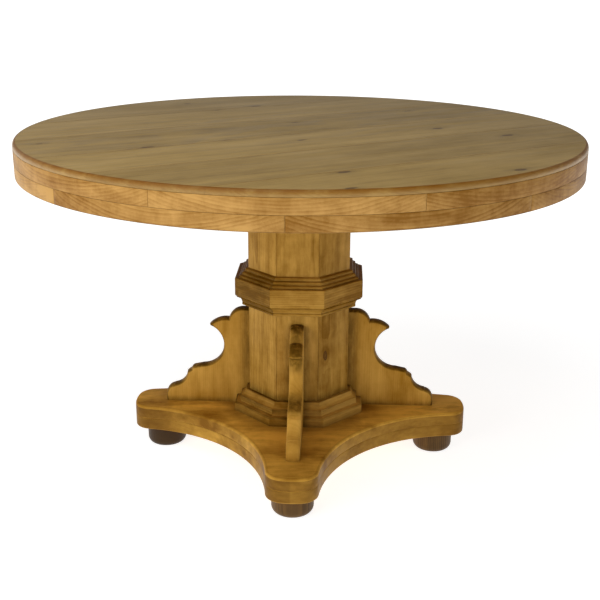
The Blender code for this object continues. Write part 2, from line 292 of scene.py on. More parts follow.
def outwards(turn):
    """The way out from the axis at a turn round it."""
    return Vector((cos(turn), sin(turn), 0))


def sideways(turn):
    """The way round the axis at a turn round it."""
    return Vector((-sin(turn), cos(turn), 0))


def mitred_side(profile, wax_and_shade_amounts=None):
    """One side of the octagonal frame: an (apothem, z) profile swept between two mitres."""
    slope = tan(pi / SIDES)
    inset = GAP / 2 / cos(pi / SIDES)
    rings = [[(a, side * (a * slope - inset), z) for a, z in profile] for side in (-1, 1)]
    return loft(rings, wax_and_shade_amounts)


def hollow_wax_and_shade(profile, deepest):
    """Dark wax and painted shade for each point of a moulding's section: much in the inside
    corners, none on the noses.
    """
    wax_and_shade_amounts = []
    for i, point in enumerate(profile):
        way_in = Vector(point) - Vector(profile[i - 1])
        way_out = Vector(profile[(i + 1) % len(profile)]) - Vector(point)
        turn = way_in.x * way_out.y - way_in.y * way_out.x
        size = max(way_in.length * way_out.length, 1e-12)
        wax_and_shade_amounts.append(deepest if turn / size > 0.2 else 0.0)
    return wax_and_shade_amounts


# -------- pieces


def grain_frame(along, face):
    """A board's own axes and offset, from the way of its grain and the way its face looks.

    The axes turn a place into (along the grain, across the board, into the board). The offset
    draws where in the trunk the board was sawn, and how far from the heart of the tree.
    """
    along = Vector(along).normalized()
    face = Vector(face).normalized()
    across = face.cross(along)
    start = rng.uniform(-40, 40)
    off_centre = rng.uniform(-0.05, 0.05)
    depth = rng.uniform(0.05, 0.11) * rng.choice((-1, 1))
    return (along, across, face, Vector((start, off_centre, depth)))


def paint_grain(mesh, grain_of, tone, knot=None):
    """Stores each face corner's grain coordinates and way from a placed knot, and each face's tone.

    The knot is (along the grain, across it, radius), measured from the axis of the table.
    """
    grain = mesh.attributes.new("grain", "FLOAT_VECTOR", "CORNER")
    knots = mesh.attributes.new("knot", "FLOAT_VECTOR", "CORNER")
    tones = mesh.attributes.new("tone", "FLOAT", "FACE")
    for face in mesh.polygons:
        along, across, out, offset = grain_of(face)
        tones.data[face.index].value = tone
        for corner in face.loop_indices:
            place = mesh.vertices[mesh.loops[corner].vertex_index].co
            u, v, w = along.dot(place), across.dot(place), out.dot(place)
            grain.data[corner].vector = (u + offset.x, v + offset.y, w + offset.z)
            knots.data[corner].vector = (u - knot[0], v - knot[1], knot[2]) if knot else NO_KNOT


def new_object(name, bm, material):
    """An object in the scene, made of a bmesh and one material."""
    mesh = bpy.data.meshes.new(name)
    bm.to_mesh(mesh)
    bm.free()
    mesh.materials.append(material)
    obj = bpy.data.objects.new(name, mesh)
    bpy.context.scene.collection.objects.link(obj)
    return obj


def add_piece(name, bm, material, nodes, turn=0.0, place=(0, 0, 0)):
    """Makes a bmesh a piece that rides on the table and stands for its CAD nodes, if any."""
    matrix = Matrix.Translation(place) @ Matrix.Rotation(turn, 4, "Z")
    bmesh.ops.transform(bm, matrix=matrix, verts=bm.verts)
    bmesh.ops.recalc_face_normals(bm, faces=bm.faces)
    piece = new_object(name, bm, material)
    piece.data.shade_smooth()
    piece.data.set_sharp_from_angle(angle=SHARP_ANGLE)
    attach(piece, "root")
    if nodes:
        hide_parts(*nodes)
    return piece


def add_board(
    name, bm, material, node, along, face, tone, turn=0.0, place=(0, 0, 0), knot=None
):
    """Adds a piece sawn from one board, with its grain along one way and its face another."""
    piece = add_piece(name, bm, material, [node], turn, place)
    board = grain_frame(along, face)
    paint_grain(piece.data, lambda _: board, tone, knot)


# -------- materials


class Tree:
    """A material's node tree, with short calls that add a node and wire it."""

    def __init__(self, tree):
        self.nodes = tree.nodes
        self.links = tree.links

    def add(self, kind, inputs=None, **settings):
        """A new node with its settings, and with a link or a value on each input given."""
        node = self.nodes.new(kind)
        for key, value in settings.items():
            setattr(node, key, value)
        for key, value in (inputs or {}).items():
            if isinstance(value, bpy.types.NodeSocket):
                self.links.new(value, node.inputs[key])
            else:
                node.inputs[key].default_value = value
        return node

    def math(self, operation, *values, clamp=False):
        """One step of arithmetic on numbers or sockets."""
        inputs = dict(enumerate(values))
        return self.add("ShaderNodeMath", inputs, operation=operation, use_clamp=clamp).outputs[0]

    def vector(self, operation, a, b=None):
        """One step of arithmetic on vectors."""
        inputs = {0: a} if b is None else {0: a, 1: b}
        return self.add("ShaderNodeVectorMath", inputs, operation=operation).outputs[0]

    def noise(self, place, scale, detail=2.0, rough=0.5):
        """Smooth noise whose scale is given for each grain direction, in cycles per metre."""
        stretched = self.vector("MULTIPLY", place, scale)
        inputs = {"Vector": stretched, "Scale": 1.0, "Detail": detail, "Roughness": rough}
        return self.add("ShaderNodeTexNoise", inputs)

    def length(self, a, b):
        """The length of a way with these two parts."""
        squares = [self.math("MULTIPLY", part, part) for part in (a, b)]
        return self.math("SQRT", self.math("ADD", *squares))

    def remap(self, value, low, high, to_low=0.0, to_high=1.0):
        """A value's smooth passage from one range to another, held at both ends."""
        inputs = {0: value, 1: low, 2: high, 3: to_low, 4: to_high}
        return self.add("ShaderNodeMapRange", inputs, interpolation_type="SMOOTHSTEP").outputs[0]

    def mix(self, factor, a, b):
        """A colour between a and b."""
        node = self.add("ShaderNodeMix", data_type="RGBA")
        for socket, value in zip((node.inputs[0], node.inputs[6], node.inputs[7]), (factor, a, b)):
            if isinstance(value, bpy.types.NodeSocket):
                self.links.new(value, socket)
            else:
                socket.default_value = value
        return node.outputs[2]

    def attribute(self, name):
        """A value that the mesh carries under this name."""
        return self.add("ShaderNodeAttribute", attribute_name=name)


def new_material(name):
    """A material with its tree and its Principled shader."""
    material = bpy.data.materials.new(name)
    material.use_nodes = True
    t = Tree(material.node_tree)
    return material, t, t.nodes["Principled BSDF"]


def rgb(red, green, blue):
    """An opaque colour in linear light."""
    return (red, green, blue, 1.0)


BARK = rgb(0.060, 0.026, 0.003)
KNOT_EYE = (rgb(0.085, 0.037, 0.004), rgb(0.150, 0.068, 0.008))
# Dark wax, also used as the colour of painted shade
DARK_WAX_AND_SHADE = rgb(0.070, 0.034, 0.001)
KNOT_LENGTH = 2.1
KNOT_CELL = (3.4, 8.0, 0.9)
RING_WIDTH = 0.0050


def knot_parts(t, across, along, radius, wobble):
    """A knot's disc, its dark rim and the swirl of grain round it, from the way to its centre."""
    squeezed = t.math("DIVIDE", along, KNOT_LENGTH)
    distance = t.math("MULTIPLY", t.length(squeezed, across), wobble)
    share = t.math("DIVIDE", distance, radius)
    disc = t.remap(share, 1.10, 0.85)
    rim = t.math("MULTIPLY", t.remap(share, 0.66, 0.98), t.remap(share, 1.45, 1.0))
    far = t.math("DIVIDE", share, 2.7)
    swirl = t.math("EXPONENT", t.math("MULTIPLY", t.math("MULTIPLY", far, far), -1.0))
    return disc, rim, swirl, distance


def scattered_knot(t, place, chance, size, wobble):
    """Knots strewn through the wood: at most one in each cell of a stretched lattice."""
    stretched = t.vector("MULTIPLY", place, KNOT_CELL)
    lattice = t.add("ShaderNodeTexVoronoi", {"Vector": stretched, "Scale": 1.0})
    centre = t.vector("DIVIDE", lattice.outputs["Position"], KNOT_CELL)
    apart = t.add("ShaderNodeSeparateXYZ", {0: t.vector("SUBTRACT", place, centre)})
    draw = t.add("ShaderNodeSeparateColor", {0: lattice.outputs["Color"]})
    present = t.math("GREATER_THAN", draw.outputs[1], 1.0 - chance)
    radius = t.remap(draw.outputs[0], 0.0, 1.0, *size)
    disc, rim, swirl, distance = knot_parts(t, apart.outputs[1], apart.outputs[0], radius, wobble)
    parts = [t.math("MULTIPLY", part, present) for part in (disc, rim, swirl)]
    return (*parts, distance, radius)


def placed_knot(t, wobble):
    """The one knot that a board may carry at a chosen place."""
    way = t.add("ShaderNodeSeparateXYZ", {0: t.attribute("knot").outputs["Vector"]})
    radius = way.outputs[2]
    return (*knot_parts(t, way.outputs[1], way.outputs[0], radius, wobble), radius)


def bracket_corner_shade(t, spot):
    """Painted shade in the corners where a bracket meets the column and the base."""
    out = t.math("MAXIMUM", *(t.math("ABSOLUTE", spot.outputs[i]) for i in (0, 1)))
    by_column = t.remap(out, COLUMN_APOTHEM + 0.034, COLUMN_APOTHEM, 0.0, 0.65)
    by_base = t.remap(spot.outputs[2], BASE_TOP + 0.016, BASE_TOP, 0.0, 0.60)
    return t.math("MAXIMUM", by_column, by_base)


def column_shade(t, spot):
    """Painted shade on the column just above the base moulding, and painted shadow beside the
    brackets.
    """
    height = spot.outputs[2]
    # Painted shade just above the base moulding
    above = t.remap(height, MOULDING_TOP + 0.022, MOULDING_TOP, 0.0, 0.60)
    above = t.math("MULTIPLY", above, t.math("GREATER_THAN", height, MOULDING_TOP + 0.0005))
    # Painted shadow beside the brackets
    aside = t.math("MINIMUM", *(t.math("ABSOLUTE", spot.outputs[i]) for i in (0, 1)))
    beside = t.remap(aside, BRACKET_HALF + 0.022, BRACKET_HALF, 0.0, 0.55)
    beside = t.math("MULTIPLY", beside, t.remap(height, BRACKET_TOP + 0.004, BRACKET_TOP - 0.012))
    return t.math("MAXIMUM", above, beside)


def base_light_and_shade(t, spot):
    """On top of the base: painted shade by the moulding, painted light on the right lobe, and
    darker out along the front lobe.
    """
    away = t.length(spot.outputs[0], spot.outputs[1])
    # Painted shade by the moulding
    left = t.remap(away, 0.205, 0.150, 0.0, 0.45)
    # Painted light on the right lobe's top
    painted_light = t.remap(spot.outputs[0], 0.13, 0.27, 0.0, -0.85)
    on_top = t.math("GREATER_THAN", spot.outputs[2], BASE_TOP - 0.0015)
    toe = t.remap(spot.outputs[1], -0.13, -0.23, 0.0, 0.16)
    return t.math("MULTIPLY", t.math("ADD", t.math("ADD", left, painted_light), toe), on_top)


def pine(
    name, pale, deep, wax_and_shade=DARK_WAX_AND_SHADE, contrast=0.5, streak=0.35, patina=0.7, dirt=0.6, patchy=0.5,
    figure=0.2, knots=0.15, knot_size=(0.004, 0.010), roughness=0.42, specular=0.18, light_and_shade_by_place=None,
):
    """Solid stained pine: growth rings round a pith line, bent by knots, with fibres and patina.

    Pale and deep are the ends of its colour, and the third colour is that of dark wax and of
    painted shade. Contrast, streak, figure, patina and dirt say how strongly the rings, the
    streaks along the grain, the marks across it, the blotches and the grime show. Patchy breaks
    up the wax and the painted shade. Knots is the share of cells that hold one. The last
    argument adds painted shade and painted light by place on the table.
    """
    material, t, shader = new_material(name)
    place = t.attribute("grain").outputs["Vector"]
    tone = t.attribute("tone").outputs["Fac"]
    wax_and_shade_amount = t.attribute("wax_and_shade_amount").outputs["Fac"]
    if light_and_shade_by_place:
        spot = t.add("ShaderNodeSeparateXYZ", {0: t.add("ShaderNodeTexCoord").outputs["Object"]})
        wax_and_shade_amount = t.math("ADD", wax_and_shade_amount, light_and_shade_by_place(t, spot))

    wobble = t.remap(t.noise(place, (70, 70, 70), 1.0).outputs["Fac"], 0.25, 0.75, 0.88, 1.14)
    both = zip(scattered_knot(t, place, knots, knot_size, wobble), placed_knot(t, wobble))
    discs, rims, swirls, distances, radii = both
    disc = t.math("MAXIMUM", *discs)
    bark = t.math("MAXIMUM", *rims)
    swirl = t.math("MAXIMUM", *swirls)
    pushes = [t.math("MULTIPLY", *pair) for pair in zip(swirls, radii)]
    push = t.math("MULTIPLY", t.math("ADD", *pushes), 1.9)

    # Growth rings, which a knot pushes aside
    drift = t.noise(place, (1.3, 5.0, 5.0), 2.0).outputs["Color"]
    drift = t.vector("MULTIPLY", t.vector("SUBTRACT", drift, (0.5, 0.5, 0.5)), (0.0, 0.050, 0.050))
    bent = t.add("ShaderNodeSeparateXYZ", {0: t.vector("ADD", place, drift)})
    heart_distance = t.math("ADD", t.length(bent.outputs[1], bent.outputs[2]), push)
    jitter = t.noise(place, (9.0, 40.0, 40.0), 2.0).outputs["Fac"]
    rings = t.math("DIVIDE", heart_distance, RING_WIDTH)
    rings = t.math("ADD", rings, t.math("MULTIPLY", jitter, 0.8))
    phase = t.math("FRACT", rings)
    late = t.math("MULTIPLY", t.remap(phase, 0.25, 0.86), t.remap(phase, 1.0, 0.93))
    ring_number = t.math("FLOOR", rings)
    draw = t.add("ShaderNodeTexWhiteNoise", {"W": ring_number}, noise_dimensions="1D")
    strength = t.math("ADD", t.math("MULTIPLY", draw.outputs["Value"], 0.8), 0.2)
    late = t.math("MULTIPLY", late, strength)

    # Fibres, broad streaks, cross figure and patina
    fibre = t.noise(place, (14.0, 1100.0, 1100.0), 3.0, 0.6).outputs["Fac"]
    bands = t.noise(place, (1.8, 42.0, 42.0), 5.0, 0.62).outputs["Fac"]
    cross = t.noise(place, (48.0, 20.0, 20.0), 4.0, 0.65).outputs["Fac"]
    blotch = t.noise(place, (3.5, 11.0, 11.0), 4.0, 0.6).outputs["Fac"]
    grime = t.noise(place, (22.0, 60.0, 60.0), 4.0, 0.65).outputs["Fac"]

    layers = (
        (bands, streak * 2.4),
        (fibre, streak * 0.9),
        (blotch, patina * 1.6),
        (cross, figure * 2.4),
        (grime, dirt),
    )
    depth = t.math("MULTIPLY", late, contrast)
    for value, amount in layers:
        depth = t.math("ADD", depth, t.math("MULTIPLY", t.math("SUBTRACT", value, 0.5), amount))
    depth = t.math("ADD", depth, t.math("MULTIPLY", tone, 0.6))
    depth = t.math("ADD", depth, t.math("MULTIPLY", swirl, 0.35))
    depth = t.math("ADD", depth, 0.36, clamp=True)
    colour = t.mix(depth, pale, deep)

    # Knots with their own fine rings, then dark wax with painted shade, and painted light
    year = t.math("SINE", t.math("DIVIDE", t.math("MINIMUM", *distances), 0.0005))
    eye = t.mix(t.math("MULTIPLY", t.math("ADD", year, 1.0), 0.5), *KNOT_EYE)
    colour = t.mix(t.math("MULTIPLY", disc, 0.85), colour, eye)
    colour = t.mix(t.math("MULTIPLY", bark, 0.8), colour, BARK)
    # Dark wax and painted shade, broken up by the grime
    wax_and_shade_mix = t.math("MULTIPLY", wax_and_shade_amount, t.remap(grime, 0.30, 0.62, 1.0 - patchy, 1.0), clamp=True)
    colour = t.mix(wax_and_shade_mix, colour, wax_and_shade)
    # Painted light where the amount is below zero, which pales the colour
    lightening = t.math("MULTIPLY", wax_and_shade_amount, -1.0)
    painted_light = t.math("MULTIPLY", lightening, t.remap(grime, 0.35, 0.6), clamp=True)
    colour = t.mix(painted_light, colour, pale)
    t.links.new(colour, shader.inputs["Base Color"])

    # Sheen and relief
    rough = t.math("ADD", t.math("MULTIPLY", fibre, 0.16), roughness - 0.05)
    rough = t.math("SUBTRACT", rough, t.math("MULTIPLY", late, 0.05))
    rough = t.math("ADD", rough, t.math("MULTIPLY", t.math("SUBTRACT", blotch, 0.5), 0.2))
    t.links.new(rough, shader.inputs["Roughness"])
    planed = t.noise(place, (7.0, 26.0, 26.0), 1.0).outputs["Fac"]
    height = t.math("SUBTRACT", 0.5, t.math("MULTIPLY", bark, 0.8))
    for value, amount in ((late, 0.30), (fibre, 0.30), (bands, 0.5), (planed, 1.8), (grime, 0.5)):
        height = t.math("ADD", height, t.math("MULTIPLY", value, amount))
    bump = t.add("ShaderNodeBump", {"Strength": 0.55, "Distance": 0.0005, "Height": height})
    t.links.new(bump.outputs[0], shader.inputs["Normal"])
    shader.inputs["Specular IOR Level"].default_value = specular
    return material


def zinc_steel():
    """Zinc-plated hardware with a fine brushed grain and a faint mottling."""
    material, t, shader = new_material("zinc_steel")
    place = t.add("ShaderNodeTexCoord").outputs["Object"]
    mottle = t.noise(place, (180.0, 180.0, 180.0), 3.0).outputs["Fac"]
    brushed = t.noise(place, (40.0, 40.0, 1500.0), 2.0).outputs["Fac"]
    colour = t.mix(t.remap(mottle, 0.35, 0.65), rgb(0.50, 0.50, 0.49), rgb(0.66, 0.66, 0.64))
    t.links.new(colour, shader.inputs["Base Color"])
    t.links.new(t.math("ADD", t.math("MULTIPLY", brushed, 0.2), 0.25), shader.inputs["Roughness"])
    bump = t.add("ShaderNodeBump", {"Strength": 0.2, "Distance": 0.0001, "Height": brushed})
    t.links.new(bump.outputs[0], shader.inputs["Normal"])
    shader.inputs["Metallic"].default_value = 1.0
    return material


# -------- top


def plank_disc():
    """The whole disc of planks, with its rounded upper edge."""
    radial, height = EDGE_ROUND
    centre = TOP_RADIUS - radial
    profile = [(TOP_RADIUS - 0.0005, PLANK_BOTTOM), (TOP_RADIUS, PLANK_BOTTOM + 0.0005)]
    for i in range(11):
        angle = radians(9 * i)
        profile.append((centre + radial * cos(angle), TOP_Z - height + height * sin(angle)))
    return turned(profile, 360)


def edge_wax_and_shade(face, place):
    """The sawn edge of the top takes more stain, and a painted dark reflection darkens it most near
    the top of its rounding.
    """
    if abs(face.normal.z) > 0.999:
        return 0.0
    # Painted dark reflection, strongest towards the top of the rounding
    return 0.45 + 0.55 * ramp(place.z, TOP_Z - EDGE_ROUND[1], TOP_Z - 0.2 * EDGE_ROUND[1])


def make_planks(material):
    """Planks cut from the disc, from the front right to the back left of it."""
    up = Vector((0, 0, 1))
    arris = up * (TOP_Z - EASE * 0.6)
    near = -TOP_RADIUS
    for number, width in enumerate(PLANK_WIDTHS, 1):
        far = near + width
        bm = plank_disc()
        joints = []
        if number > 1:
            joints.append((near, -ACROSS))
        if number < len(PLANK_WIDTHS):
            joints.append((far, ACROSS))
        for edge, out in joints:
            wall = ACROSS * edge - out * GAP / 2
            cut_away(bm, wall, out)
            cut_away(bm, wall + arris, out + up)
        bm.normal_update()
        set_wax_and_shade(bm, bm.faces, edge_wax_and_shade)
        node = f"top_plank_{number}"
        tone = PLANK_TONES[number - 1]
        add_board(f"plank_{number}", bm, material, node, ALONG, up, tone)
        near = far


def rim_outline():
    """One mitred rim board in plan: round outside, straight inside."""
    half = pi / SIDES
    inner = TOP_RADIUS - RIM_BOARD_WIDTH
    trim = GAP / 2 / TOP_RADIUS
    angles = [-half + trim + 2 * (half - trim) * i / RIM_STEPS for i in range(RIM_STEPS + 1)]
    outline = [(TOP_RADIUS * cos(angle), TOP_RADIUS * sin(angle)) for angle in angles]
    reach = inner * tan(half) - GAP / 2 / cos(half)
    return outline + [(inner, reach), (inner, -reach)]


def on_lower_rim(edge):
    """Whether an edge is part of the rim's lower outer edge."""
    ends = [vert.co for vert in edge.verts]
    return all(end.z < LOWER_RIM[0] + 1e-5 and end.x > TOP_RADIUS * 0.9 for end in ends)


def make_rim(material):
    """Two rings of eight boards, the lower one turned by half a board."""
    outline = rim_outline()
    rings = (
        ("rim_upper", UPPER_RIM, 0.0, UPPER_RIM_TONES),
        ("rim_lower", LOWER_RIM, 0.5, LOWER_RIM_TONES),
    )
    for name, (bottom, top), shift, tones in rings:
        for k in range(SIDES):
            turn = 2 * pi * (k + shift) / SIDES
            bm = prism(outline, bottom, top)
            if shift:
                # The lower rim's bottom outer edge is rounded and darkened with a painted shadow
                # line
                ease_edges(bm, 0.002, 4, 60, on_lower_rim, 0.5)
            ease_edges(bm, 0.0005, sharper_than=50)
            add_board(
                f"{name}_board_{k + 1}", bm, material, f"{name}_{k + 1}",
                sideways(turn), outwards(turn), tones[k], turn,
            )


def make_top_support(material):
    """Two battens across the planks, and the mounting board on the column."""
    width, length = BATTEN_SIZE
    corners = ((-1, -1), (1, -1), (1, 1), (-1, 1))
    outline = [(x * width / 2, y * length / 2) for x, y in corners]
    for number, side in enumerate((-1, 1), 1):
        bm = prism(outline, *UPPER_RIM)
        ease_edges(bm, 0.002, 3)
        place = ALONG * side * BATTEN_OFFSET
        add_board(
            f"batten_{number}", bm, material, f"top_batten_{number}",
            ACROSS, (0, 0, -1), 0.1, PLANK_ANGLE, place,
        )
    bm = prism(polygon(PLATE_APOTHEM), *PLATE_Z)
    ease_edges(bm, 0.003, 3)
    bm = bore(bm, ROD_HOLE, PLATE_Z[0] - 0.01, PLATE_Z[1] + 0.01)
    add_board(
        "mounting_board", bm, material, "mounting_plate", (1, 0, 0), (0, 0, -1), 0.2
    )


def screw_head(place):
    """A pan head with a cross recess, seen from below."""
    tilts = [radians(15 * i) for i in range(6)]
    dome = [(SCREW_RADIUS * cos(tilt), -SCREW_DOME * sin(tilt)) for tilt in tilts]
    head = turned([(SCREW_RADIUS, 0.0005), *dome], 24)
    for across, along in (RECESS_HALF, RECESS_HALF[::-1]):
        corners = ((-across, -along), (across, -along), (across, along), (-across, along))
        head = combine(head, prism(corners, -0.004, RECESS_BOTTOM))
    bmesh.ops.translate(head, vec=place, verts=head.verts)
    return head


def make_screws(material):
    """Six screws through each batten into the planks, eight through the board into the battens."""
    batten_screws = [way * reach for way in (-1, 1) for reach in BATTEN_SCREWS]
    rows = (
        ("batten", BATTEN_OFFSET, batten_screws, UPPER_RIM[0]),
        ("board", PLATE_SCREW_ROW, PLATE_SCREWS, PLATE_Z[0]),
    )
    for part, offset, reaches, height in rows:
        for row, side in enumerate((-1, 1), 1):
            for number, reach in enumerate(reaches, 1):
                place = ALONG * side * offset + ACROSS * reach + Vector((0, 0, height))
                name = f"screw_{part}_{row}_{number}"
                add_piece(name, screw_head(place), material, [])


# -------- column


def collar_profile():
    """The collar's section: three fillets, a flat band, a cove and a bead, from the top down."""
    low, high = COLLAR_Z
    points = [(COLLAR_INNER, high)]
    for step, drop in FILLETS:
        centre = (step - FILLET_ROUND, high - drop - FILLET_ROUND)
        points += arc(centre, FILLET_ROUND, 90, 0, 5)
        points += [(step, high - drop - FILLET_HEIGHT)]
    points += arc((COLLAR_FACE - 0.0015, high - 0.0232), 0.0015, 90, 0, 4)
    points += arc((COLLAR_FACE - 0.0060, low + 0.0290), 0.0060, 0, -75, 7)
    points += arc((0.1412, low + 0.0085), 0.0134, 96, 178, 9)
    points += arc((0.1245, low + 0.0045), 0.0035, 60, -80, 6)
    points += [(COLLAR_INNER, low)]
    return points


def moulding_profile():
    """The base moulding's section, round the outside from its foot up to the column."""
    low, high = MOULDING_BOTTOM, MOULDING_TOP
    inner = COLUMN_APOTHEM + GAP
    points = [(inner, low), (MOULDING_FACE, low)]
    points += arc((MOULDING_FACE - 0.0045, low + 0.0165), 0.0045, 0, 90, 6)
    points += [(0.1345, low + 0.0212), (0.1342, low + 0.0225), (0.1340, low + 0.0330)]
    points += arc((0.1345, low + 0.0475), 0.0125, -95, -165, 7)
    points += [(0.1215, low + 0.0470), (0.1208, high - 0.0002), (inner, high)]
    return points


def make_column(wood):
    """Eight staves, and round them the eight pieces of the collar."""
    # Dark wax and painted shade in the collar's inside corners
    collar_wax_and_shade = hollow_wax_and_shade(collar_profile(), 0.48)
    bottom, top = COLUMN_Z
    stave = (
        (STAVE_INNER, bottom),
        (COLUMN_APOTHEM, bottom),
        (COLUMN_APOTHEM, top),
        (STAVE_INNER, top),
    )
    for k in range(SIDES):
        turn = 2 * pi * k / SIDES
        bm = mitred_side(stave)
        ease_edges(bm, 0.0008, wax_and_shade_amount=0.1)
        add_board(
            f"stave_{k + 1}", bm, wood, f"column_stave_{k + 1}",
            (0, 0, 1), outwards(turn), STAVE_TONES[k], turn, knot=STAVE_KNOTS.get(k + 1),
        )
        bm = mitred_side(collar_profile(), [max(wax_and_shade, COLLAR_WAX[k]) for wax_and_shade in collar_wax_and_shade])
        add_board(
            f"collar_{k + 1}", bm, wood, f"collar_piece_{k + 1}",
            sideways(turn), outwards(turn), COLLAR_TONES[k], turn,
        )


def make_base_moulding(material):
    """Four corner pieces, each of two half sides and a diagonal one mitred together."""
    slope = tan(pi / SIDES)
    cheek = BRACKET_HALF + GAP
    profile = moulding_profile()
    for k in range(4):
        wax_and_shade_amounts = hollow_wax_and_shade(profile, MOULDING_WAX_AND_SHADE[k])
        rings = (
            [(a, cheek, z) for a, z in profile],
            [(a, a * slope, z) for a, z in profile],
            [(a * slope, a, z) for a, z in profile],
            [(cheek, a, z) for a, z in profile],
        )
        turn = k * pi / 2
        bm = loft(rings, wax_and_shade_amounts)
        nodes = [f"base_moulding_{k + 1}"]
        piece = add_piece(f"moulding_{k + 1}", bm, material, nodes, turn)
        angles = [turn + step * pi / 4 for step in range(3)]
        strips = [grain_frame(sideways(angle), outwards(angle)) for angle in angles]

        def strip_of(face, strips=strips, turn=turn):
            """The strip that a face belongs to, from its bearing."""
            angle = (atan2(face.center.y, face.center.x) - turn) % (2 * pi)
            return strips[min(int((angle + pi / 8) // (pi / 4)), 2)]

        paint_grain(piece.data, strip_of, MOULDING_TONES[k])


# -------- brackets and base


def bracket_outline():
    """The scroll bracket's side view as (distance from the axis, height) points."""
    lobe_centre, lobe_radius = (0.1700, 0.2640), 0.0535
    hollow_centre, hollow_radius = (0.2275, 0.2515), 0.0508
    dx, dz = hollow_centre[0] - lobe_centre[0], hollow_centre[1] - lobe_centre[1]
    apart = hypot(dx, dz)
    turn = acos((apart**2 + lobe_radius**2 - hollow_radius**2) / (2 * apart * lobe_radius))
    tip = atan2(dz, dx) + turn
    tip_r = lobe_centre[0] + lobe_radius * cos(tip)
    tip_z = lobe_centre[1] + lobe_radius * sin(tip)
    hollow_start = atan2(tip_z - hollow_centre[1], tip_r - hollow_centre[0])
    base = BASE_TOP + GAP
    inner = COLUMN_APOTHEM + GAP

    # From the column: shoulder, upper scroll, hollow, bead, lower hollow, toe
    outline = [(inner, BRACKET_TOP)]
    outline += arc((0.1305, 0.3085), 0.0340, 90, 22, 14)
    outline += arc(lobe_centre, lobe_radius, 97, tip * 180 / pi + 3, 18)
    outline += arc(hollow_centre, hollow_radius, hollow_start * 180 / pi + 3, 268, 34)
    outline += [(0.2455, 0.1965)]
    outline += arc((0.2455, 0.1875), 0.0088, 80, 10, 6)
    outline += arc((0.3005, 0.1855), 0.0365, 186, 262, 18)
    outline += arc((0.2925, 0.1260), 0.0225, 80, 0, 12)
    outline += [(BRACKET_REACH, base), (inner, base)]
    return outline


def inset(outline, amount):
    """The outline drawn in by an amount, except where it stands against the column or the base."""
    inner, base = outline[-1]
    count = len(outline)
    moved = []
    for i, (r, z) in enumerate(outline):
        before = Vector(outline[i - 1])
        after = Vector(outline[(i + 1) % count])
        here = Vector((r, z))
        way_in = [Vector((d.y, -d.x)).normalized() for d in (here - before, after - here)]
        if r < inner + 1e-6:
            way_in[1 if z < BRACKET_TOP - 1e-6 else 0] = Vector((0, 0))
        if z < base + 1e-6:
            way_in[0 if r < BRACKET_REACH - 1e-6 else 1] = Vector((0, 0))
        bisector = way_in[0] + way_in[1]
        if bisector.length > 1e-6 and min(way.length for way in way_in) > 0.5:
            bisector *= 2 / max(bisector.length_squared, 1.0)
        if r < inner + 1e-6:
            bisector.x = 0
        if z < base + 1e-6:
            bisector.y = 0
        moved.append((r + bisector.x * amount, z + bisector.y * amount))
    return moved


def contour_wax_and_shade(face, place):
    """Dark wax on the sawn contour of a bracket, with painted shade added on the parts that face
    up, under the top.
    """
    sawn = hypot(face.normal.x, face.normal.z)
    if sawn < 0.3:
        return 0.0
    # Painted shade grows on the parts that face up
    return sqrt(sawn) * (0.55 + 0.40 * max(0.0, face.normal.z))


def front_contour_wax_and_shade(face, place):
    """The front bracket's contour: wax on its sawn faces, painted light low down, painted shade on
    the parts that face up, and painted shadow, darkest, under the scrolls' tip and on the bead."""
    sawn = hypot(face.normal.x, face.normal.z)
    if sawn < 0.3:
        return 0.0
    high = ramp(place.z, LIGHTER_BELOW, LIGHTER_BELOW + 0.025)
    # Painted shade on parts facing up high, painted light low down
    amount = high * (0.40 + 0.55 * max(0.0, face.normal.z)) - (1 - high) * 0.30
    under = ramp(-face.normal.z, 0.0, 0.5)
    on_bead = max(0.0, 1.0 - abs(place.z - BEAD_HEIGHT) / 0.020)
    hidden = max(under, on_bead)
    return sawn * (amount + (0.90 - amount) * hidden)


def make_brackets(material):
    """Four brackets lofted through their thickness, with edges rounded over."""
    outline = bracket_outline()
    tilts = [radians(11.25 * i) for i in range(9)]
    depth, width = BRACKET_ROUND
    sections = [(depth * (1 - sin(a)), BRACKET_HALF - width * (1 - cos(a))) for a in tilts]
    rings = [(draw, -y) for draw, y in sections] + [(draw, y) for draw, y in reversed(sections)]
    for k, direction in enumerate(DIRECTIONS):
        bm = loft([[(r, y, z) for r, z in inset(outline, draw)] for draw, y in rings])
        bmesh.ops.recalc_face_normals(bm, faces=bm.faces)
        set_wax_and_shade(bm, bm.faces, front_contour_wax_and_shade if direction == "front" else contour_wax_and_shade)
        turn = k * pi / 2
        add_board(
            f"scroll_bracket_{direction}", bm, material, f"bracket_{direction}",
            (0, 0, 1), sideways(turn), BRACKET_TONES[k], turn,
        )


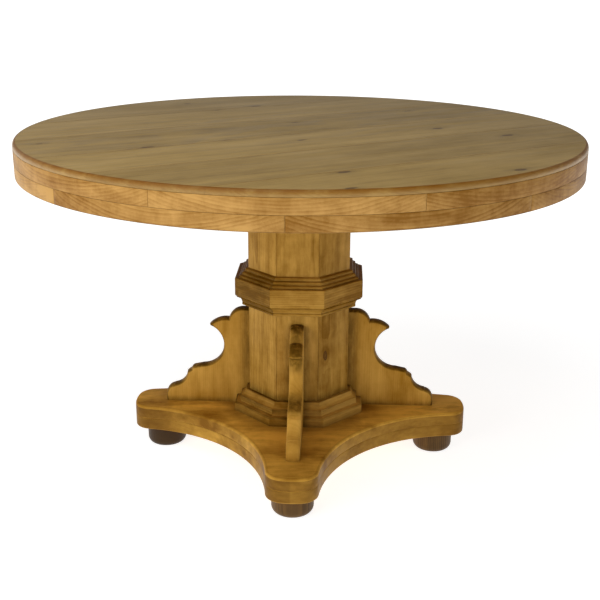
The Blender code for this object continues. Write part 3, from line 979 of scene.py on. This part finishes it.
def lobe_outline():
    """The base plate in plan: four hollow waists joined by four blunt lobes."""
    end_centre = (LOBE_TIP - LOBE_END_RADIUS, 0)
    reach = WAIST_RADIUS + LOBE_CORNER_RADIUS
    swing = LOBE_END_RADIUS - LOBE_CORNER_RADIUS
    dx, dy = end_centre[0] - WAIST_CENTRE, end_centre[1] - WAIST_CENTRE
    apart = hypot(dx, dy)
    turn = acos((apart**2 + reach**2 - swing**2) / (2 * apart * reach))
    waist_angle = atan2(dy, dx) + turn
    corner = (WAIST_CENTRE + reach * cos(waist_angle), WAIST_CENTRE + reach * sin(waist_angle))
    end_angle = atan2(corner[1] - end_centre[1], corner[0] - end_centre[0]) * 180 / pi
    waist_start = waist_angle * 180 / pi
    waist_end = -270 - waist_start
    quarter = list(arc(end_centre, LOBE_END_RADIUS, 0, end_angle, 6))
    quarter += list(arc(corner, LOBE_CORNER_RADIUS, end_angle, waist_start + 180, 16))[1:]
    centre = (WAIST_CENTRE, WAIST_CENTRE)
    waist = list(arc(centre, WAIST_RADIUS, waist_start, waist_end, WAIST_STEPS))
    mirrored = [(y, x) for x, y in reversed(quarter)]
    quadrant = quarter + waist[1:-1] + mirrored
    outline = []
    for k in range(4):
        c, s = round(cos(k * pi / 2)), round(sin(k * pi / 2))
        outline += [(c * x - s * y, s * x + c * y) for x, y in quadrant[:-1]]
    return outline


def side_shade(face, place):
    """Painted shade on the sawn sides of the base, which darkens them against its top; most on the
    ends of the lobes and in the hollow between the front and the right one, which lies in shade."""
    end = ramp(hypot(place.x, place.y), 0.24, 0.34)
    # Painted shade, more at the lobe ends and in the front-right hollow
    amount = 0.45 + 0.28 * end
    if place.x > 0 > place.y:
        amount += 0.20 * (1 - end)
    if place.x < 0:
        amount += 0.14 * end
    return amount


def make_base(material):
    """Two glued layers, the upper one well rounded above and the lower one counterbored below."""
    layers = (
        ("lower", BASE_LOWER, (0.003, 0.0008), -0.1),
        ("upper", BASE_UPPER, (0.0008, 0.006), 0.1),
    )
    for level, ends, rounds, tone in layers:
        bottom, top = ends
        bm = prism(lobe_outline(), bottom, top)
        for height, width in zip(ends, rounds):
            ease_edges(
                bm, width, 5, 60,
                lambda edge: all(abs(vert.co.z - height) < 1e-5 for vert in edge.verts),
                0.20 if width > 0.004 else 0.6,
            )
        if level == "lower":
            bm = bore(bm, COUNTERBORE[0], bottom - 0.01, bottom + COUNTERBORE[1])
        bm = bore(bm, ROD_HOLE, bottom - 0.01, top + 0.01)
        bm.normal_update()
        set_wax_and_shade(bm, [face for face in bm.faces if abs(face.normal.z) < 0.1], side_shade)
        add_board(
            f"base_layer_{level}", bm, material, f"base_plate_{level}",
            outwards(BASE_GRAIN), (0, 0, 1), tone,
        )


def make_feet(material):
    """Four turned feet, flat below, swelling in a quarter ellipse, eased at the top."""
    swell = FOOT_RADIUS - FOOT_FLAT_RADIUS
    profile = [
        (FOOT_FLAT_RADIUS + swell * cos(radians(a)), FOOT_ROUND_HEIGHT * (1 - sin(radians(a))))
        for a in range(90, -1, -6)
    ]
    profile += arc((FOOT_RADIUS - 0.002, FOOT_TOP - 0.002), 0.002, 0, 90, 5)
    for k, direction in enumerate(DIRECTIONS):
        out = outwards(k * pi / 2)
        add_board(
            f"turned_foot_{direction}", turned(profile, 96), material,
            f"foot_{direction}", (0, 0, 1), out, FOOT_TONES_AND_SHADE[k], place=out * FOOT_CENTRE,
        )


def chamfered_nut(bottom, top, across_flats):
    """A hexagonal nut whose corners are turned off at both ends."""
    corner = across_flats / sqrt(3)
    flat = across_flats / 2 * 0.97
    drop = (corner - flat) * tan(radians(30))
    reach = corner * 1.01
    cone = ((flat, bottom), (reach, bottom + drop), (reach, top - drop), (flat, top))
    block = prism(polygon(across_flats / 2, 6), bottom, top)
    bm = combine(block, turned(cone, 64), "INTERSECT")
    return bore(bm, ROD_HOLE - 0.001, bottom - 0.01, top + 0.01)


def threaded_rod(bottom, top, radius):
    """A plain rod with a thread at each end."""
    profile = [(radius - 0.0015, bottom), (radius - 0.0005, bottom + 0.0010)]
    for start in (bottom + 0.0012, top - 0.0012 - THREAD_LENGTH):
        for i in range(int(THREAD_LENGTH / THREAD_PITCH)):
            root = start + i * THREAD_PITCH
            profile += [
                (radius - THREAD_DEPTH, root),
                (radius, root + THREAD_PITCH * 0.45),
                (radius, root + THREAD_PITCH * 0.55),
            ]
    profile += [(radius - 0.0005, top - 0.0010), (radius - 0.0015, top)]
    return turned(profile, 40)


def washer(low, high):
    """A washer between the corners of its box, with its outer edges broken."""
    rim, edge = high.x, 0.0004
    profile = [(rim - edge, low.z), (rim, low.z + edge)]
    profile += [(rim, high.z - edge), (rim - edge, high.z)]
    return bore(turned(profile, 64), ROD_HOLE, low.z - 0.01, high.z + 0.01)


def make_tie_rod(material):
    """The rod through the column, with a nut and a washer at each end."""
    low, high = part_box("tie_rod")
    pieces = {"rod": (threaded_rod(low.z, high.z, high.x), "tie_rod")}
    for end in ("bottom", "top"):
        low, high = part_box(f"tie_rod_nut_{end}")
        across_flats = min(high.x - low.x, high.y - low.y)
        nut = chamfered_nut(low.z, high.z, across_flats)
        pieces[f"nut_{end}"] = (nut, f"tie_rod_nut_{end}")
        low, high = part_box(f"tie_rod_washer_{end}")
        pieces[f"washer_{end}"] = (washer(low, high), f"tie_rod_washer_{end}")
    for name, (bm, node) in pieces.items():
        add_piece(f"steel_{name}", bm, material, [node])


# -------- studio


def make_floor():
    """A pale floor that glows more far from the table, so that it reads evenly white."""
    material, t, shader = new_material("studio_floor")
    place = t.add("ShaderNodeTexCoord").outputs["Object"]
    away = t.add("ShaderNodeVectorMath", {0: place}, operation="LENGTH").outputs["Value"]
    t.links.new(t.remap(away, 1.0, 3.5, *FLOOR_GLOW), shader.inputs["Emission Strength"])
    shader.inputs["Base Color"].default_value = rgb(0.50, 0.50, 0.50)
    shader.inputs["Roughness"].default_value = 0.9
    shader.inputs["Specular IOR Level"].default_value = 0.0
    shader.inputs["Emission Color"].default_value = rgb(1.0, 1.0, 1.0)
    bm = bmesh.new()
    bmesh.ops.create_grid(bm, x_segments=8, y_segments=8, size=FLOOR_SIZE)
    floor = new_object("studio_floor", bm, material)


def make_backdrop():
    """A white wall far behind everything, which only the camera sees, so that it lights nothing."""
    material, _, shader = new_material("studio_wall")
    shader.inputs["Base Color"].default_value = rgb(0.0, 0.0, 0.0)
    shader.inputs["Emission Color"].default_value = rgb(1.0, 1.0, 1.0)
    shader.inputs["Emission Strength"].default_value = 1.0
    bm = bmesh.new()
    bmesh.ops.create_cone(
        bm, segments=48, radius1=WALL_RADIUS, radius2=WALL_RADIUS, depth=2 * WALL_RADIUS
    )
    wall = new_object("studio_wall", bm, material)
    wall.visible_diffuse = False
    wall.visible_glossy = False
    wall.visible_transmission = False
    wall.visible_shadow = False


def add_softbox(name, place, target, size, power, colour):
    """A rectangular lamp that faces its target and isn't mirrored in the wood."""
    lamp = bpy.data.lights.new(name, "AREA")
    lamp.shape = "RECTANGLE"
    lamp.size, lamp.size_y = size
    lamp.energy = power
    lamp.color = colour
    obj = bpy.data.objects.new(name, lamp)
    obj.location = place
    obj.visible_glossy = False
    obj.rotation_euler = (Vector(target) - Vector(place)).to_track_quat("-Z", "Y").to_euler()
    bpy.context.scene.collection.objects.link(obj)


def make_studio():
    """Floor, wall, a sky brighter from the left and from low down, and three softboxes."""
    make_floor()
    make_backdrop()
    world = bpy.data.worlds.new("studio")
    bpy.context.scene.world = world
    world.use_nodes = True
    t = Tree(world.node_tree)
    way = t.add("ShaderNodeSeparateXYZ", {0: t.add("ShaderNodeTexCoord").outputs["Generated"]})
    height = t.remap(way.outputs[2], 0.0, 0.7, *SKY_BY_HEIGHT)
    side = t.remap(way.outputs[0], -1.0, 1.0, *SKY_BY_SIDE)
    background = t.nodes["Background"]
    background.inputs["Color"].default_value = rgb(1.0, 1.0, 1.0)
    t.links.new(t.math("MULTIPLY", height, side), background.inputs["Strength"])
    for name, settings in SOFTBOXES.items():
        add_softbox(name, *settings)


def make_camera():
    """A camera 2.2 m in front of the column, looking down at the collar."""
    lens = bpy.data.cameras.new("camera")
    lens.lens = CAMERA_LENS
    lens.sensor_width = 36
    lens.shift_x, lens.shift_y = CAMERA_SHIFT
    camera = bpy.data.objects.new("camera", lens)
    heading, pitch, roll = (radians(angle) for angle in CAMERA_TURN)
    turn = Matrix.Rotation(heading, 4, "Z") @ Matrix.Rotation(pi / 2 - pitch, 4, "X")
    turn = turn @ Matrix.Rotation(roll, 4, "Z")
    camera.matrix_world = Matrix.Translation(CAMERA_PLACE) @ turn
    bpy.context.scene.collection.objects.link(camera)
    bpy.context.scene.camera = camera


def pines():
    """The pine of each group of boards, by name."""
    return {
        "top": pine(
            "top_pine", rgb(0.48, 0.310, 0.086), rgb(0.22, 0.132, 0.027), rgb(0.20, 0.076, 0.004),
            contrast=0.26, streak=0.46, patina=0.55, dirt=0.5, patchy=0.3, figure=0.05,
            knots=0.45, knot_size=(0.0028, 0.0058), roughness=0.38, specular=0.45,
        ),
        "rim": pine(
            "rim_pine", rgb(0.50, 0.280, 0.080), rgb(0.22, 0.094, 0.012), contrast=0.30,
            streak=0.45, patina=1.2, dirt=0.8, figure=0.36, knots=0.06, specular=0.10,
        ),
        "column": pine(
            "column_pine", rgb(0.50, 0.282, 0.056), rgb(0.185, 0.080, 0.003), contrast=0.26,
            streak=0.46, patina=1.2, dirt=1.0, knots=0.02, specular=0.06, light_and_shade_by_place=column_shade,
        ),
        "bracket": pine(
            "bracket_pine", rgb(0.56, 0.308, 0.056), rgb(0.27, 0.120, 0.004), contrast=0.16,
            streak=0.24, patina=1.5, dirt=0.7, figure=0.15, knots=0.0, specular=0.06,
            light_and_shade_by_place=bracket_corner_shade,
        ),
        "base": pine(
            "base_pine", rgb(0.80, 0.445, 0.070), rgb(0.26, 0.112, 0.008), rgb(0.13, 0.056, 0.007),
            contrast=0.06, streak=0.18, patina=1.9, dirt=0.9, patchy=0.1, knots=0.04,
            specular=0.06, light_and_shade_by_place=base_light_and_shade,
        ),
        "foot": pine("foot_pine", rgb(0.140, 0.072, 0.017), rgb(0.045, 0.022, 0.005), knots=0.0),
    }


def main():
    """Builds the wood from the top down, then the steel, then the studio."""
    materials = pines()
    make_planks(materials["top"])
    make_rim(materials["rim"])
    make_top_support(materials["rim"])
    make_column(materials["column"])
    make_base_moulding(materials["column"])
    make_brackets(materials["bracket"])
    make_base(materials["base"])
    make_feet(materials["foot"])
    steel = zinc_steel()
    make_tie_rod(steel)
    make_screws(steel)
    make_studio()
    make_camera()
    bpy.context.scene.view_settings.view_transform = "Standard"
    bpy.context.scene.cycles.use_denoising = True


main()
